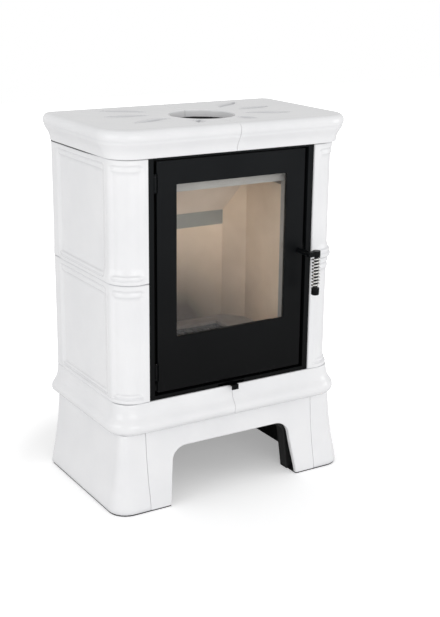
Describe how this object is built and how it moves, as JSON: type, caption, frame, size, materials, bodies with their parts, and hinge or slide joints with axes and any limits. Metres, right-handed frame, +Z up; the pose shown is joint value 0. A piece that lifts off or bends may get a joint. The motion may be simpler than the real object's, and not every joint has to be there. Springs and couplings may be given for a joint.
{
  "type": "tiled wood stove",
  "caption": "Upright wood stove in a white moulded tile jacket, with a glazed black steel door, coil handle, air slider, ash pan and brick-lined firebox.",
  "frame": {"origin": "middle of the floor area under the whole stove, handle included", "axes": "+Z up, the door faces -Y, +X to the right as seen by a person facing the door"},
  "size_m": [0.6408, 0.397, 0.886],
  "materials": {
    "glaze": "white glaze over moulded ceramic, glossy with a soft bloom",
    "black_paint": "heat-proof black paint, satin",
    "black_steel": "matt black sheet steel",
    "grey_steel": "heat-dulled grey steel",
    "cast_iron": "bare dark iron",
    "vermiculite": "pressed vermiculite board, rough",
    "bright_steel": "nickel-plated, polished",
    "glass": "clear ceramic glass with a thin film of soot",
    "rope": "braided ceramic rope, dark grey"
  },
  "bodies": {
    "stove": {"arch_lining": "black_steel", "baffle_plate": "vermiculite", "baffle_slope": "vermiculite", "base_frame": "black_steel", "base_top": "black_steel", "body_back": "black_steel", "body_floor": "black_steel", "body_side_left": "black_steel", "body_side_right": "black_steel", "body_top": "black_steel", "cornice_left": "glaze", "cornice_right": "glaze", "flue_collar": "black_steel", "front_sheet": "grey_steel", "grate": "cast_iron", "hearth_plate": "black_steel", "hinge_pin_bottom": "bright_steel", "hinge_pin_top": "bright_steel", "latch_keeper": "bright_steel", "ledge_left": "glaze", "ledge_right": "glaze", "lining_bevel_left": "vermiculite", "lining_bevel_right": "vermiculite", "lining_floor": "vermiculite", "lining_rear": "vermiculite", "lining_side_left": "vermiculite", "lining_side_right": "vermiculite", "outlet_cover": "black_steel", "plinth_front": "glaze", "plinth_left": "glaze", "plinth_right": "glaze", "rear_duct": "grey_steel", "rear_shield": "black_steel", "shield_stay_left": "black_steel", "shield_stay_right": "black_steel", "slider_guide": "black_steel", "surround": "black_paint", "tile_lower_left": "glaze", "tile_lower_right": "glaze", "tile_rail_left": "black_steel", "tile_rail_right": "black_steel", "tile_upper_left": "glaze", "tile_upper_right": "glaze"},
    "door": {"door_leaf": "black_paint", "door_frame": "black_paint", "door_glass": "glass", "glass_gasket": "rope", "glass_clip_top": "black_steel", "glass_clip_bottom": "black_steel", "hinge_lug_bottom": "black_paint", "hinge_lug_top": "black_paint", "door_rope": "rope"},
    "handle": {"latch_spindle": "black_paint", "latch_tongue": "bright_steel", "handle_arm": "black_paint", "handle_rod": "black_steel", "handle_cap": "black_paint", "handle_coil": "bright_steel"},
    "slider": {"air_slider": "black_paint"},
    "pan": {"ash_pan": "black_steel"}
  },
  "joints": [
    {"name": "door_swing", "type": "hinge", "parent": "stove", "child": "door", "pos_m": [-0.1995, -0.136, 0.55], "axis": [0, 0, -1], "range_deg": [0, 100]},
    {"name": "handle_turn", "type": "hinge", "parent": "door", "child": "handle", "pos_m": [0.186, -0.1475, 0.5682], "axis": [0, -1, 0], "range_deg": [0, 80]},
    {"name": "air_slide", "type": "slide", "parent": "stove", "child": "slider", "axis": [1, 0, 0], "range_m": [-0.025, 0.025]},
    {"name": "ash_pan_slide", "type": "slide", "parent": "stove", "child": "pan", "axis": [0, -1, 0], "range_m": [0, 0.15]}
  ],
  "couplings": [
    {"joint": "ash_pan_slide", "follows": "door_swing", "m_per_rad": 0.085}
  ]
}
